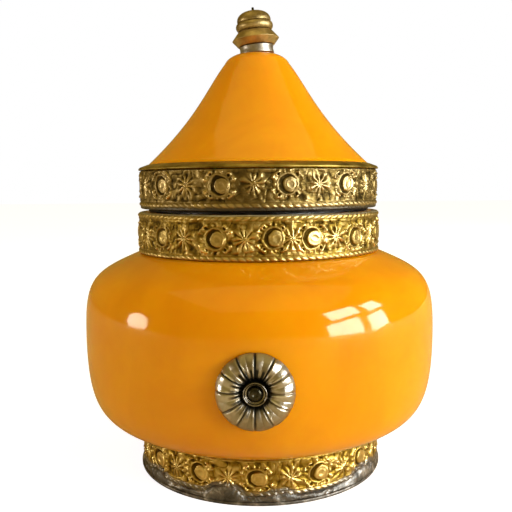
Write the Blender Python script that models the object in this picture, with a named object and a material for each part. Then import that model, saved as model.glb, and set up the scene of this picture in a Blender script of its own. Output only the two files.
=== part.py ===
"""A lidded powder jar: a turned amber-resin bowl and conical lid, dressed with embossed brass strips.

Frame: +Z up, origin at the centre of the base plate's underside, rosette towards -Y. The numbers
below are millimetres, and every mesh is scaled by MM into Blender's metres.

Run it with: blender --background --python part.py
"""

import math

import bmesh
import bpy

MM = 0.001

# Driving dimensions, in millimetres.
BELLY_RADIUS = 50.0
BELLY_HEIGHT = 39.0  # where the belly is widest
WALL = 5.0  # resin thickness at the belly
FIT_GAP = 0.15  # between sheet metal and what it is wrapped round, soldered or cemented to
SHEET = 0.45  # plain sheet metal
STRIP = 0.55  # embossed strip, from its back to its ground
RIDGE = 0.35  # how far a strip's rope border stands above its ground
RIDGE_WIDTH = 1.3
SEGMENTS = 36  # round the jar
BEAD_SEGMENTS = 20  # round a bead of the finial
SMALL_SEGMENTS = 16  # round a rivet or pin

# Foot.
PLATE_RADIUS = 35.3
PLATE_THICKNESS = 0.9
FOOT_RADIUS = 33.4  # resin foot inside its metal
FOOT_LEDGE = 12.3  # underside of the belly, where the strip ends
FOOT_LEDGE_RADIUS = 35.1
FOOT_SOLDER_TOP = 1.75  # top of the solder run round the plate

# Neck and mouth.
NECK_RADIUS = 33.3  # resin neck inside its metal
NECK_LEDGE = 61.7  # flat turned in the belly's shoulder, where the strip starts
NECK_LEDGE_RADIUS = 35.0
NECK_TOP = 72.75  # resin rim
MOUTH_RADIUS = 28.6
RIM_FLANGE_INNER = 29.2

# Lid.
LID_BOTTOM = 74.25  # underside of the lid's resin
LID_SEAT_BOTTOM = 73.6  # underside of the ring that the lid rests on
LID_SEAT_OUTER = 31.6
LID_SKIRT_RADIUS = 32.75
LID_BAND_TOP = 84.8
BEZEL_TOP = 86.85
CONE_FOOT_RADIUS = 30.8
CONE_FOOT = 87.2
CONE_TOP = 118.1
LID_CEILING = 110.2
LID_BORE = 28.4
COLLAR_RADIUS = 28.05
COLLAR_BOTTOM = 66.0
COLLAR_TOP = 82.0

# Finial, along its own pin, which leans towards -X as it was drilled.
FINIAL_LEAN = 5.2  # degrees
FINIAL_SEAT = 117.9  # height of the point that the finial leans about
PIN_RADIUS = 0.8
PIN_TIP_RADIUS = 0.35
PIN_TIP_TOP = 12.95
BEAD_BORE = 1.0
OUTER_SPOTFACE = -0.35
INNER_SPOTFACE = -7.4

# Rosette on the bowl's front, with heights from the plane that its rim lies in.
ROSETTE_HEIGHT = 34.5
ROSETTE_PETALS = 12
ROSETTE_SHEET = 0.5
ROSETTE_SECTION = ((1.3, 0.95), (2.8, 0.95), (3.6, 1.7), (5.2, 2.4), (6.8, 2.25), (8.2, 1.4), (9.1, 0.2))
PETAL_GROOVE = 0.5
PETAL_NOTCH = 0.25
RIVET_RADIUS = 0.9
RIVET_HOLE = 1.2

# Solder runs down the back of each strip, where its two ends lap.
SEAM_WIDTH = 1.8
SEAM_PROUD = 0.35


def clear_scene():
    for obj in list(bpy.data.objects):
        bpy.data.objects.remove(obj)


def material(name, colour, roughness, metallic):
    mat = bpy.data.materials.new(name)
    mat.use_nodes = True
    shader = mat.node_tree.nodes["Principled BSDF"]
    shader.inputs["Base Color"].default_value = (*colour, 1.0)
    shader.inputs["Roughness"].default_value = roughness
    shader.inputs["Metallic"].default_value = metallic
    return mat


def bezier(start, handle_1, handle_2, end, steps):
    """Points of a cubic curve after its start, up to and with its end."""
    points = []
    for i in range(1, steps + 1):
        t = i / steps
        weights = ((1 - t) ** 3, 3 * t * (1 - t) ** 2, 3 * t * t * (1 - t), t**3)
        corners = (start, handle_1, handle_2, end)
        points.append(tuple(sum(w * c[k] for w, c in zip(weights, corners)) for k in (0, 1)))
    return points


def finish_object(name, bm, mat, parent):
    bmesh.ops.recalc_face_normals(bm, faces=bm.faces)
    mesh = bpy.data.meshes.new(name)
    bm.to_mesh(mesh)
    bm.free()
    mesh.shade_smooth()
    mesh.set_sharp_from_angle(angle=math.radians(35))
    if mat:
        mesh.materials.append(mat)
    obj = bpy.data.objects.new(name, mesh)
    bpy.context.scene.collection.objects.link(obj)
    obj.parent = parent
    return obj


def turned(name, profile, mat=None, parent=None, segments=SEGMENTS):
    """A solid of revolution about Z. A profile of (radius, height) that starts and ends on the
    axis is a full solid, and any other one is closed into a ring."""
    bm = bmesh.new()
    verts = [bm.verts.new((r * MM, 0, z * MM)) for r, z in profile]
    edges = [bm.edges.new(pair) for pair in zip(verts, verts[1:])]
    if profile[0][0] or profile[-1][0]:
        edges.append(bm.edges.new((verts[-1], verts[0])))
    bmesh.ops.spin(bm, geom=verts + edges, axis=(0, 0, 1), cent=(0, 0, 0), angle=math.tau, steps=segments)
    bmesh.ops.remove_doubles(bm, verts=bm.verts, dist=1e-7)
    return finish_object(name, bm, mat, parent)


def tube(inner, outer, bottom, top):
    return [(inner, bottom), (outer, bottom), (outer, top), (inner, top)]


def cut(obj, cutter):
    """Takes the cutter away from the object, and leaves it as a wire helper."""
    cutter.hide_render = True
    cutter.display_type = "WIRE"
    modifier = obj.modifiers.new("cut_" + cutter.name, "BOOLEAN")
    modifier.operation = "DIFFERENCE"
    modifier.solver = "EXACT"
    modifier.object = cutter


def empty(name, location, rotation=(0, 0, 0)):
    obj = bpy.data.objects.new(name, None)
    bpy.context.scene.collection.objects.link(obj)
    obj.location = [c * MM for c in location]
    obj.rotation_euler = rotation
    return obj


# The bowl.


def belly_outside():
    """The belly from the neck's ledge down to the foot's ledge, as (radius, height)."""
    middle = (BELLY_RADIUS, BELLY_HEIGHT)
    shoulder = (NECK_LEDGE_RADIUS, NECK_LEDGE)
    base = (FOOT_LEDGE_RADIUS, FOOT_LEDGE)
    upper = bezier(shoulder, (47.8, 56.2), (BELLY_RADIUS, 55.3), middle, 9)
    lower = bezier(middle, (BELLY_RADIUS, 16.3), (45.2, 16.2), base, 9)
    return [shoulder] + upper + lower


def cavity():
    """The inside from the middle of the floor up to the mouth."""
    middle = (BELLY_RADIUS - WALL, BELLY_HEIGHT)
    floor = [(0, 12.5), (20, 12.8), (28, 14.2), (34, 16.8)]
    lower = bezier((34, 16.8), (43, 19.6), (BELLY_RADIUS - WALL, 22.5), middle, 5)
    upper = bezier(middle, (BELLY_RADIUS - WALL, 50.3), (43.5, 52.0), (32, 56.6), 5)
    throat = bezier((32, 56.6), (29.8, 57.5), (MOUTH_RADIUS, 58.3), (MOUTH_RADIUS, 60.2), 3)
    return floor + lower + upper + throat


def radius_at(points, height):
    """The radius of an outline at a height, for pieces that are fastened there."""
    for (r1, z1), (r2, z2) in zip(points, points[1:]):
        if min(z1, z2) <= height <= max(z1, z2):
            return r1 + (r2 - r1) * (height - z1) / (z2 - z1)
    raise ValueError("the outline has no such height")


def make_bowl(resin):
    bottom = PLATE_THICKNESS + FIT_GAP
    foot = [(FOOT_RADIUS, FOOT_LEDGE), (FOOT_RADIUS, bottom), (0, bottom)]
    neck = [(MOUTH_RADIUS, NECK_TOP), (NECK_RADIUS, NECK_TOP), (NECK_RADIUS, NECK_LEDGE)]
    bowl = turned("bowl", cavity() + neck + belly_outside() + foot, resin)
    through = [(0, 38), (RIVET_HOLE, 38), (RIVET_HOLE, 56), (0, 56)]
    hole = turned("rivet_hole_cutter", through, segments=SMALL_SEGMENTS)
    hole.rotation_euler = (math.pi / 2, 0, 0)
    hole.location = (0, 0, ROSETTE_HEIGHT * MM)
    cut(bowl, hole)


def band_profile(inner, bottom, top):
    """An embossed strip: a flat ground between two raised rope borders."""
    ground = inner + STRIP
    crest = ground + RIDGE
    edge = 0.3
    return [
        (inner, bottom),
        (ground, bottom),
        (crest, bottom + edge),
        (crest, bottom + RIDGE_WIDTH - edge),
        (ground, bottom + RIDGE_WIDTH),
        (ground, top - RIDGE_WIDTH),
        (crest, top - RIDGE_WIDTH + edge),
        (crest, top - edge),
        (ground, top),
        (inner, top),
    ]


def seam_solder(name, radius, bottom, top, mat):
    """A flattened bead of solder standing up the back of a strip, where its ends lap."""
    bm = bmesh.new()
    half = SEAM_WIDTH / 2
    section = [(-half, 0), (half, 0), (half * 0.55, SEAM_PROUD), (-half * 0.55, SEAM_PROUD)]
    low = [bm.verts.new((x * MM, (radius + y) * MM, bottom * MM)) for x, y in section]
    face = bm.faces.new(low)
    made = bmesh.ops.extrude_face_region(bm, geom=[face])
    tops = [v for v in made["geom"] if isinstance(v, bmesh.types.BMVert)]
    bmesh.ops.translate(bm, verts=tops, vec=(0, 0, (top - bottom) * MM))
    return finish_object(name, bm, mat, None)


def make_foot(brass, tinned, solder):
    plate = [(0, 0), (PLATE_RADIUS, 0), (PLATE_RADIUS, PLATE_THICKNESS), (0, PLATE_THICKNESS)]
    turned("foot_base_plate", plate, tinned)
    bottom = PLATE_THICKNESS + FIT_GAP
    top = FOOT_LEDGE - FIT_GAP
    inner = FOOT_RADIUS + FIT_GAP
    turned("foot_liner_ring", tube(inner, inner + SHEET, bottom, top), tinned)
    band_bottom = FOOT_SOLDER_TOP + FIT_GAP
    crest = make_band("foot_band", FOOT_RADIUS, band_bottom, top, brass)
    seam_solder("foot_lap_solder", crest + FIT_GAP, band_bottom + 0.3, top, solder)
    run_inner = inner + SHEET + FIT_GAP
    run = [
        (run_inner, bottom),
        (PLATE_RADIUS, bottom),
        (PLATE_RADIUS - 0.1, FOOT_SOLDER_TOP - 0.25),
        (PLATE_RADIUS - 0.35, FOOT_SOLDER_TOP),
        (run_inner, FOOT_SOLDER_TOP),
    ]
    turned("foot_solder_seam", run, solder)


def make_band(name, resin_radius, bottom, top, mat):
    """An embossed strip over the plain ring round some resin. Returns its outermost radius."""
    inner = resin_radius + FIT_GAP + SHEET + FIT_GAP
    turned(name, band_profile(inner, bottom, top), mat)
    return inner + STRIP + RIDGE


def make_neck(brass, tinned, solder):
    inner = NECK_RADIUS + FIT_GAP
    outer = inner + SHEET
    flange_bottom = NECK_TOP + FIT_GAP
    flange_top = flange_bottom + SHEET
    bottom = NECK_LEDGE + FIT_GAP
    cap = [
        (inner, bottom),
        (outer, bottom),
        (outer, flange_top),
        (RIM_FLANGE_INNER, flange_top),
        (RIM_FLANGE_INNER, flange_bottom),
        (inner, flange_bottom),
    ]
    turned("neck_rim_cap", cap, tinned)
    top = flange_top - 0.1
    crest = make_band("neck_band", NECK_RADIUS, bottom, top, brass)
    seam_solder("neck_lap_solder", crest + FIT_GAP, bottom + 0.3, top, solder)


# The rosette.


def petal_face(rho, turn):
    """Height of the flower's face over its rim plane, at a distance and an angle from its centre."""
    height = ROSETTE_SECTION[-1][1]
    for (r1, h1), (r2, h2) in zip(ROSETTE_SECTION, ROSETTE_SECTION[1:]):
        if r1 <= rho <= r2:
            height = h1 + (h2 - h1) * (rho - r1) / (r2 - r1)
    petal = math.tau / ROSETTE_PETALS
    off_crease = abs((turn + petal / 2) % petal - petal / 2) / (petal / 4)
    along = min(1, max(0, rho - 3.0)) * (0.5 if rho > 8.8 else 1)
    return height - PETAL_GROOVE * along * max(0, 1 - off_crease)


def make_rosette_petals(silver, axis, rim_plane):
    """A pressed flower of thin sheet, with a hole for its rivet."""
    steps = 4 * ROSETTE_PETALS
    outer = ROSETTE_SECTION[-1][0]
    bm = bmesh.new()
    loops = []
    for lift, section in ((0, ROSETTE_SECTION), (ROSETTE_SHEET, ROSETTE_SECTION[::-1])):
        for rho, _ in section:
            loop = []
            for i in range(steps):
                turn = math.tau * i / steps
                reach = rho - PETAL_NOTCH if rho == outer and i % 4 == 0 else rho
                height = rim_plane + petal_face(rho, turn) + ROSETTE_SHEET - lift
                x = reach * math.cos(turn)
                y = reach * math.sin(turn)
                loop.append(bm.verts.new((x * MM, y * MM, height * MM)))
            loops.append(loop)
    for a, b in zip(loops, loops[1:] + loops[:1]):
        for i in range(steps):
            j = (i + 1) % steps
            bm.faces.new((a[i], a[j], b[j], b[i]))
    bmesh.ops.triangulate(bm, faces=bm.faces)
    finish_object("rosette_petals", bm, silver, axis)


def make_rosette(silver, dark, tinned):
    # Turned about an axis that points out of the belly, so heights are distances from the jar's axis.
    axis = empty("rosette_axis", (0, 0, ROSETTE_HEIGHT), (math.pi / 2, 0, 0))
    rim_plane = BELLY_RADIUS + FIT_GAP
    make_rosette_petals(silver, axis, rim_plane)
    seat = rim_plane + ROSETTE_SECTION[0][1] + ROSETTE_SHEET + FIT_GAP
    brim = [(2.65, seat), (2.8, seat + 0.5), (2.65, seat + 0.95), (2.3, seat + 1.05), (2.0, seat + 0.8)]
    cup = [(1.8, seat), *brim]
    turned("rosette_cup", cup, silver, axis, BEAD_SEGMENTS)
    # A flat washer bears on the hollow wall with its edges.
    washer_radius = 3.2
    wall = radius_at(cavity(), ROSETTE_HEIGHT - washer_radius)
    washer_top = math.sqrt(wall**2 - washer_radius**2) - FIT_GAP - 0.05
    washer_bottom = washer_top - 0.8
    washer = tube(RIVET_HOLE, washer_radius, washer_bottom, washer_top)
    turned("rosette_backing_washer", washer, tinned, axis, SMALL_SEGMENTS)
    tail = washer_bottom - FIT_GAP
    rivet = [
        (0, tail - 0.8),
        (1.5, tail - 0.7),
        (2.0, tail),
        (RIVET_RADIUS, tail),
        (RIVET_RADIUS, seat),
        (1.6, seat),
        (1.65, seat + 0.5),
        (1.3, seat + 1.0),
        (0.75, seat + 1.2),
        (0.35, seat + 0.95),
        (0, seat + 0.9),
    ]
    turned("rosette_rivet", rivet, dark, axis, SMALL_SEGMENTS)


# The lid.


def cone_outside():
    """The lid's resin from the metal shoulder up to the axis."""
    foot = (CONE_FOOT_RADIUS, CONE_FOOT)
    crown = (9.2, 114.9)
    slope = bezier(foot, (17.3, 99.8), (14.2, 108.6), crown, 9)
    dome = bezier(crown, (8.7, 116.2), (6.0, CONE_TOP), (0, CONE_TOP), 5)
    return [foot] + slope + dome


def make_lid_cone(resin):
    ceiling = (0, LID_CEILING)
    corner = (8.2, 107.6)
    inside = [ceiling] + bezier(ceiling, (4.5, LID_CEILING), (6.6, 109.8), corner, 3)
    inside += bezier(corner, (12.0, 101.0), (18.0, 94.0), (LID_BORE, 82.8), 5)
    # The skirt is turned down for the strip, with a sloping rebate under the bezel.
    skirt = [
        (LID_BORE, LID_BOTTOM),
        (LID_SKIRT_RADIUS, LID_BOTTOM),
        (LID_SKIRT_RADIUS, LID_BAND_TOP),
        (CONE_FOOT_RADIUS, BEZEL_TOP - 1.0),
    ]
    cone = turned("lid_cone", inside + skirt + cone_outside(), resin)
    axis = finial_axis("cone_cutter_axis")
    spotface = [(0, OUTER_SPOTFACE), (5.1, OUTER_SPOTFACE), (5.1, 6), (0, 6)]
    cut(cone, turned("outer_spotface_cutter", spotface, None, axis, SMALL_SEGMENTS))
    inner_face = [(0, -16), (4.2, -16), (4.2, INNER_SPOTFACE), (0, INNER_SPOTFACE)]
    cut(cone, turned("inner_spotface_cutter", inner_face, None, axis, SMALL_SEGMENTS))
    pin_hole = [(0, -12), (1.1, -12), (1.1, 4), (0, 4)]
    cut(cone, turned("pin_hole_cutter", pin_hole, None, axis, SMALL_SEGMENTS))


def make_lid_metal(brass, plain_brass, tinned, solder):
    inner = LID_SKIRT_RADIUS + FIT_GAP
    turned("lid_liner_ring", tube(inner, inner + SHEET, LID_BOTTOM, LID_BAND_TOP), tinned)
    crest = make_band("lid_band", LID_SKIRT_RADIUS, LID_BOTTOM, LID_BAND_TOP, brass)
    seam_solder("lid_lap_solder", crest + FIT_GAP, LID_BOTTOM, LID_BAND_TOP, solder)
    bezel_bottom = LID_BAND_TOP + FIT_GAP
    bezel = [
        (crest - 0.65, bezel_bottom),
        (crest, bezel_bottom),
        (crest, bezel_bottom + 0.35),
        (crest - 0.35, bezel_bottom + 0.75),
        (CONE_FOOT_RADIUS + 0.4, BEZEL_TOP),
        (CONE_FOOT_RADIUS + FIT_GAP, BEZEL_TOP - 0.4),
    ]
    turned("lid_bezel", bezel, plain_brass)
    seat_top = LID_BOTTOM - FIT_GAP
    turned("lid_seat_ring", tube(COLLAR_RADIUS + 0.25, LID_SEAT_OUTER, LID_SEAT_BOTTOM, seat_top), tinned)
    turned("lid_collar", tube(COLLAR_RADIUS - 0.7, COLLAR_RADIUS, COLLAR_BOTTOM, COLLAR_TOP), tinned)


# The finial.


def finial_axis(name):
    """The line of the finial's pin: heights along it count from the point that it leans about."""
    return empty(name, (0, 0, FINIAL_SEAT), (0, -math.radians(FINIAL_LEAN), 0))


def make_finial(brass, silver, tinned):
    axis = finial_axis("finial_axis")

    def bead(name, outline, bottom, top, mat):
        ring = [(BEAD_BORE, bottom), *outline, (BEAD_BORE, top)]
        turned(name, ring, mat, axis, BEAD_SEGMENTS)

    bottom = OUTER_SPOTFACE + FIT_GAP
    bead("finial_ferrule", [(4.9, bottom), (4.75, 0.7), (4.7, 1.3), (4.9, 1.95)], bottom, 1.95, silver)
    bicone = [(5.2, 2.1), (6.5, 3.65), (6.7, 3.85), (6.5, 4.05), (4.75, 6.2)]
    bead("finial_bicone", bicone, 2.1, 6.2, brass)
    round_bead = [(4.7, 6.35), (5.1, 6.8), (5.3, 7.5), (5.2, 8.1), (4.85, 8.5)]
    bead("finial_round_bead", round_bead, 6.35, 8.5, brass)
    cap = [
        (BEAD_BORE, 8.65),
        (4.8, 8.65),
        (4.8, 9.5),
        (4.45, 10.4),
        (3.65, 11.15),
        (2.5, 11.6),
        (0.55, 11.85),
        (0.55, 10.8),
        (BEAD_BORE, 10.8),
    ]
    turned("finial_cap", cap, brass, axis, BEAD_SEGMENTS)
    washer_top = INNER_SPOTFACE - FIT_GAP
    washer_bottom = washer_top - 0.7
    head_top = washer_bottom - FIT_GAP
    turned("finial_inner_washer", tube(1.1, 3.9, washer_bottom, washer_top), tinned, axis, SMALL_SEGMENTS)
    pin = [
        (0, head_top - 1.0),
        (1.7, head_top - 0.9),
        (2.2, head_top - 0.4),
        (2.2, head_top),
        (PIN_RADIUS, head_top),
        (PIN_RADIUS, 10.6),
        (PIN_TIP_RADIUS, 10.65),
        (PIN_TIP_RADIUS, PIN_TIP_TOP - 0.15),
        (0, PIN_TIP_TOP),
    ]
    turned("finial_pin", pin, tinned, axis, SMALL_SEGMENTS)


def main():
    clear_scene()
    resin = material("amber_resin", (0.82, 0.33, 0.012), 0.18, 0.0)
    brass = material("embossed_brass", (0.55, 0.36, 0.09), 0.38, 1.0)
    plain_brass = material("plain_brass", (0.38, 0.27, 0.1), 0.42, 1.0)
    silver = material("silver_metal", (0.6, 0.56, 0.5), 0.25, 1.0)
    tinned = material("tinned_metal", (0.42, 0.4, 0.37), 0.5, 1.0)
    solder = material("solder", (0.3, 0.29, 0.28), 0.6, 1.0)
    dark = material("dark_steel", (0.1, 0.09, 0.085), 0.4, 1.0)
    make_bowl(resin)
    make_foot(brass, tinned, solder)
    make_neck(brass, tinned, solder)
    make_rosette(silver, dark, tinned)
    make_lid_cone(resin)
    make_lid_metal(brass, plain_brass, tinned, solder)
    make_finial(brass, silver, tinned)


main()
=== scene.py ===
"""Looks of a lidded amber-resin powder jar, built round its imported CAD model.

Shapes are worked out in millimetres in the jar's frame (+Z up, front towards -Y) and scaled by MM.
Angles round the jar are counted from the front, positive towards +X. Sections are lists of
(distance from an axis, height along it).
"""

import math

import bpy
import numpy as np
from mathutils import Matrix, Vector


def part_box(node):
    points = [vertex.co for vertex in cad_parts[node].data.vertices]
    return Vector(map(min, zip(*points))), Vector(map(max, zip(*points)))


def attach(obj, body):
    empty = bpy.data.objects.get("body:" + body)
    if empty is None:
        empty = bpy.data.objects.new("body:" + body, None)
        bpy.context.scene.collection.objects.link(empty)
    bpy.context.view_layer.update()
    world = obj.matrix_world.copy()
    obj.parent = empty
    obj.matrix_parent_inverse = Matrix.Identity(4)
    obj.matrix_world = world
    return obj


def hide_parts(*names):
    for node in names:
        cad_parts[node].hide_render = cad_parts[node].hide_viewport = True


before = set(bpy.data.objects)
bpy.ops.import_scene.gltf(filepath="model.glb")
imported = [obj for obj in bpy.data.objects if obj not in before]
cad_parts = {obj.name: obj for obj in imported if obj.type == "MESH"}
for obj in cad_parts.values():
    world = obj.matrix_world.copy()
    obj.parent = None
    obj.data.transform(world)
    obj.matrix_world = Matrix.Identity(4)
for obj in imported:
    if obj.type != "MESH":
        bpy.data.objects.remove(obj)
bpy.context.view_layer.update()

MM = 0.001
SEED = 20

# The same resin, sheet and fit as the CAD model.
WALL = 5.0
SHEET = 0.45
FIT_GAP = 0.15
ROSETTE_HEIGHT = 34.5
ROSETTE_PETALS = 12
FINIAL_LEAN = 5.2  # degrees towards -X
FINIAL_SEAT = 117.9


def extent(node):
    """(outer radius, bottom, top) of a node turned about the jar's axis, in millimetres."""
    low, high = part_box(node)
    return high[0] / MM, low[2] / MM, high[2] / MM


# Mesh tools.


def bezier(start, handle_1, handle_2, end, steps):
    """Points along a cubic curve, leaving out its start."""
    t = np.arange(1, steps + 1)[:, None] / steps
    corners = [np.array(c, float) for c in (start, handle_1, handle_2, end)]
    weights = ((1 - t) ** 3, 3 * t * (1 - t) ** 2, 3 * t * t * (1 - t), t**3)
    return [tuple(p) for p in sum(w * c for w, c in zip(weights, corners))]


SHARP_CORNER = math.radians(22)


def soften(points, radius, steps=3, closed=True):
    """Rounds each corner of an outline that turns sharply."""
    out = []
    count = len(points)
    for i, point in enumerate(points):
        here = np.array(point, float)
        if not closed and i in (0, count - 1):
            out.append(tuple(here))
            continue
        before = np.array(points[i - 1], float) - here
        after = np.array(points[(i + 1) % count], float) - here
        length_1, length_2 = np.linalg.norm(before), np.linalg.norm(after)
        if length_1 < 1e-6 or length_2 < 1e-6:
            continue
        turning = math.pi - math.acos(np.clip(before @ after / length_1 / length_2, -1, 1))
        if turning < SHARP_CORNER:
            out.append(tuple(here))
            continue
        reach = min(radius, 0.45 * length_1, 0.45 * length_2)
        start = here + before / length_1 * reach
        end = here + after / length_2 * reach
        for k in range(steps + 1):
            t = k / steps
            out.append(tuple((1 - t) ** 2 * start + 2 * t * (1 - t) * here + t * t * end))
    return out


def make_object(name, verts, faces):
    mesh = bpy.data.meshes.new(name)
    mesh.from_pydata((verts * MM).tolist(), [], faces)
    mesh.validate()
    mesh.shade_smooth()
    obj = bpy.data.objects.new(name, mesh)
    bpy.context.scene.collection.objects.link(obj)
    return obj


def grid_faces(rows, cols, closed_rows):
    """Quads over rows that each go right round. Where closed_rows, the last row joins the first."""
    faces = []
    for i in range(rows if closed_rows else rows - 1):
        low, high = i * cols, (i + 1) % rows * cols
        for j in range(cols):
            k = (j + 1) % cols
            faces.append((low + j, low + k, high + k, high + j))
    return faces


def around(name, radii, heights, place=None):
    """A closed skin over a grid of radii and heights.

    Rows run round a section, and columns run round the axis.
    """
    rows, cols = radii.shape
    turn = math.tau * np.arange(cols) / cols
    x = radii * np.sin(turn)
    y = -radii * np.cos(turn)
    verts = np.stack([x, y, np.broadcast_to(heights, radii.shape)], -1).reshape(-1, 3)
    if place is not None:
        verts = place(verts)
    return make_object(name, verts, grid_faces(rows, cols, True))


def turned(name, section, cols, place=None, wobble=None):
    """A solid of revolution. A section that starts and ends on the axis is capped there."""
    section = np.array(section, float)
    turn = math.tau * np.arange(cols) / cols
    full = section[0, 0] < 1e-9 and section[-1, 0] < 1e-9
    body = section[1:-1] if full else section
    radii = np.repeat(body[:, :1], cols, 1)
    heights = np.repeat(body[:, 1:], cols, 1)
    if wobble is not None:
        radii, heights = wobble(radii, heights, turn)
    verts = np.stack([radii * np.sin(turn), -radii * np.cos(turn), heights], -1).reshape(-1, 3)
    faces = grid_faces(len(body), cols, not full)
    if full:
        first, last = len(verts), len(verts) + 1
        verts = np.vstack([verts, [0, 0, section[0, 1]], [0, 0, section[-1, 1]]])
        top = (len(body) - 1) * cols
        for j in range(cols):
            k = (j + 1) % cols
            faces.append((first, k, j))
            faces.append((last, top + j, top + k))
    if place is not None:
        verts = place(verts)
    return make_object(name, verts, faces)


def tube(inner, outer, bottom, top):
    """The section of a plain ring."""
    return [(inner, bottom), (outer, bottom), (outer, top), (inner, top)]


def step_between(low, high, x):
    """Rises smoothly from 0 at low to 1 at high."""
    t = np.clip((x - low) / (high - low), 0, 1)
    return t * t * (3 - 2 * t)


def round_noise(turn, seed, waves, fall=1.0):
    """Smooth noise round a ring, about -1 to 1, with up to this many waves round it."""
    rng = np.random.default_rng(SEED + seed)
    total = np.zeros_like(turn)
    size = 0.0
    for wave in range(1, waves + 1):
        strength = 1.0 / wave**fall
        total += strength * np.sin(wave * turn + rng.uniform(0, math.tau))
        size += strength**2
    return total / math.sqrt(size)


def strip_noise(u, v, seed, cell):
    """Smooth noise over a strip that closes on itself round the jar. Lengths in millimetres."""
    rng = np.random.default_rng(SEED + seed)
    length = u.max() + (u.flat[1] - u.flat[0])
    cols = max(4, int(round(length / cell)))
    rows = int(v.max() / cell) + 3
    knots = rng.uniform(-1, 1, (rows, cols))
    x = u / length * cols
    y = v / cell
    x0 = np.floor(x).astype(int)
    y0 = np.clip(np.floor(y).astype(int), 0, rows - 2)
    tx, ty = x - x0, y - y0
    tx, ty = tx * tx * (3 - 2 * tx), ty * ty * (3 - 2 * ty)
    left, right = x0 % cols, (x0 + 1) % cols
    low = knots[y0, left] * (1 - tx) + knots[y0, right] * tx
    high = knots[y0 + 1, left] * (1 - tx) + knots[y0 + 1, right] * tx
    return low * (1 - ty) + high * ty


def store(obj, name, values):
    """Keeps a number at each vertex, for the material to read."""
    attribute = obj.data.attributes.new(name, "FLOAT", "POINT")
    attribute.data.foreach_set("value", np.asarray(values, np.float32).ravel())


# Material tools.


def socket(node, name):
    """The input that is in use under this name."""
    return next(s for s in node.inputs if s.name == name and s.enabled)


class Shader:
    """A small builder for one Principled material."""

    def __init__(self, name, **values):
        self.material = bpy.data.materials.new(name)
        self.material.use_nodes = True
        self.tree = self.material.node_tree
        self.principled = self.tree.nodes["Principled BSDF"]
        for key, value in values.items():
            self.set(self.principled, key.replace("_", " "), value)
        coordinates = self.tree.nodes.new("ShaderNodeTexCoord")
        self.place = coordinates.outputs["Object"]

    def set(self, node, name, value):
        target = socket(node, name)
        if isinstance(value, bpy.types.NodeSocket):
            self.tree.links.new(value, target)
        elif isinstance(value, tuple) and len(value) == 3 and target.type == "RGBA":
            target.default_value = (*value, 1.0)
        else:
            target.default_value = value

    def noise(self, scale, detail, rough, stretch=None, distortion=0.0):
        place = self.place
        if stretch:
            mapping = self.tree.nodes.new("ShaderNodeMapping")
            mapping.inputs["Scale"].default_value = stretch
            self.tree.links.new(place, mapping.inputs["Vector"])
            place = mapping.outputs["Vector"]
        node = self.tree.nodes.new("ShaderNodeTexNoise")
        self.tree.links.new(place, node.inputs["Vector"])
        node.inputs["Scale"].default_value = scale
        node.inputs["Detail"].default_value = detail
        node.inputs["Roughness"].default_value = rough
        node.inputs["Distortion"].default_value = distortion
        return node.outputs["Fac"]

    def attribute(self, name):
        node = self.tree.nodes.new("ShaderNodeAttribute")
        node.attribute_name = name
        return node.outputs["Fac"]

    def ramp(self, value, *stops):
        """stops are (position, colour) pairs, or (position, grey)."""
        node = self.tree.nodes.new("ShaderNodeValToRGB")
        ramp = node.color_ramp
        while len(ramp.elements) < len(stops):
            ramp.elements.new(0.5)
        for element, (position, colour) in zip(ramp.elements, stops):
            element.position = position
            grey = not isinstance(colour, tuple)
            element.color = (colour, colour, colour, 1) if grey else (*colour, 1)
        self.tree.links.new(value, node.inputs["Fac"])
        return node.outputs["Color"]

    def math(self, operation, a, b):
        node = self.tree.nodes.new("ShaderNodeMath")
        node.operation = operation
        for target, value in zip(node.inputs, (a, b)):
            if isinstance(value, bpy.types.NodeSocket):
                self.tree.links.new(value, target)
            else:
                target.default_value = value
        return node.outputs["Value"]

    def mix(self, factor, a, b):
        node = self.tree.nodes.new("ShaderNodeMix")
        node.data_type = "RGBA"
        self.set(node, "Factor", factor)
        self.set(node, "A", a)
        self.set(node, "B", b)
        return next(s for s in node.outputs if s.enabled)

    def bump(self, height, distance, strength, normal=None):
        node = self.tree.nodes.new("ShaderNodeBump")
        node.inputs["Distance"].default_value = distance
        node.inputs["Strength"].default_value = strength
        self.tree.links.new(height, node.inputs["Height"])
        if normal is not None:
            self.tree.links.new(normal, node.inputs["Normal"])
        return node.outputs["Normal"]

    def finish(self, **links):
        for key, value in links.items():
            self.set(self.principled, key.replace("_", " "), value)
        return self.material


def amber_resin():
    """Honey-coloured resin: polished, a little cloudy, with light soaking in and fine scratches."""
    s = Shader(
        "amber_resin",
        Metallic=0.0,
        IOR=1.5,
        Specular_Tint=(1.0, 0.92, 0.72),
        Subsurface_Weight=0.35,
        Subsurface_Scale=0.004,
        Subsurface_Radius=(1.0, 0.38, 0.06),
    )
    cloud = s.noise(38, 4, 0.55, distortion=0.6)
    colour = s.ramp(
        cloud,
        (0.3, (0.75, 0.275, 0.001)),
        (0.55, (0.81, 0.32, 0.0015)),
        (0.75, (0.85, 0.355, 0.002)),
    )
    streak = s.noise(90, 3, 0.5, stretch=(1, 1, 0.25), distortion=1.2)
    colour = s.mix(s.ramp(streak, (0.55, 0.0), (0.8, 0.35)), colour, (0.74, 0.26, 0.001))
    scratch = s.noise(900, 2, 0.6, stretch=(0.15, 0.6, 1.0))
    rough = s.ramp(s.noise(160, 5, 0.65), (0.35, 0.05), (0.7, 0.11))
    fine = s.bump(scratch, 0.00002, 0.25)
    wavy = s.bump(s.noise(55, 1, 0.4), 0.0008, 0.3, fine)
    return s.finish(Base_Color=colour, Roughness=rough, Normal=wavy)


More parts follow.
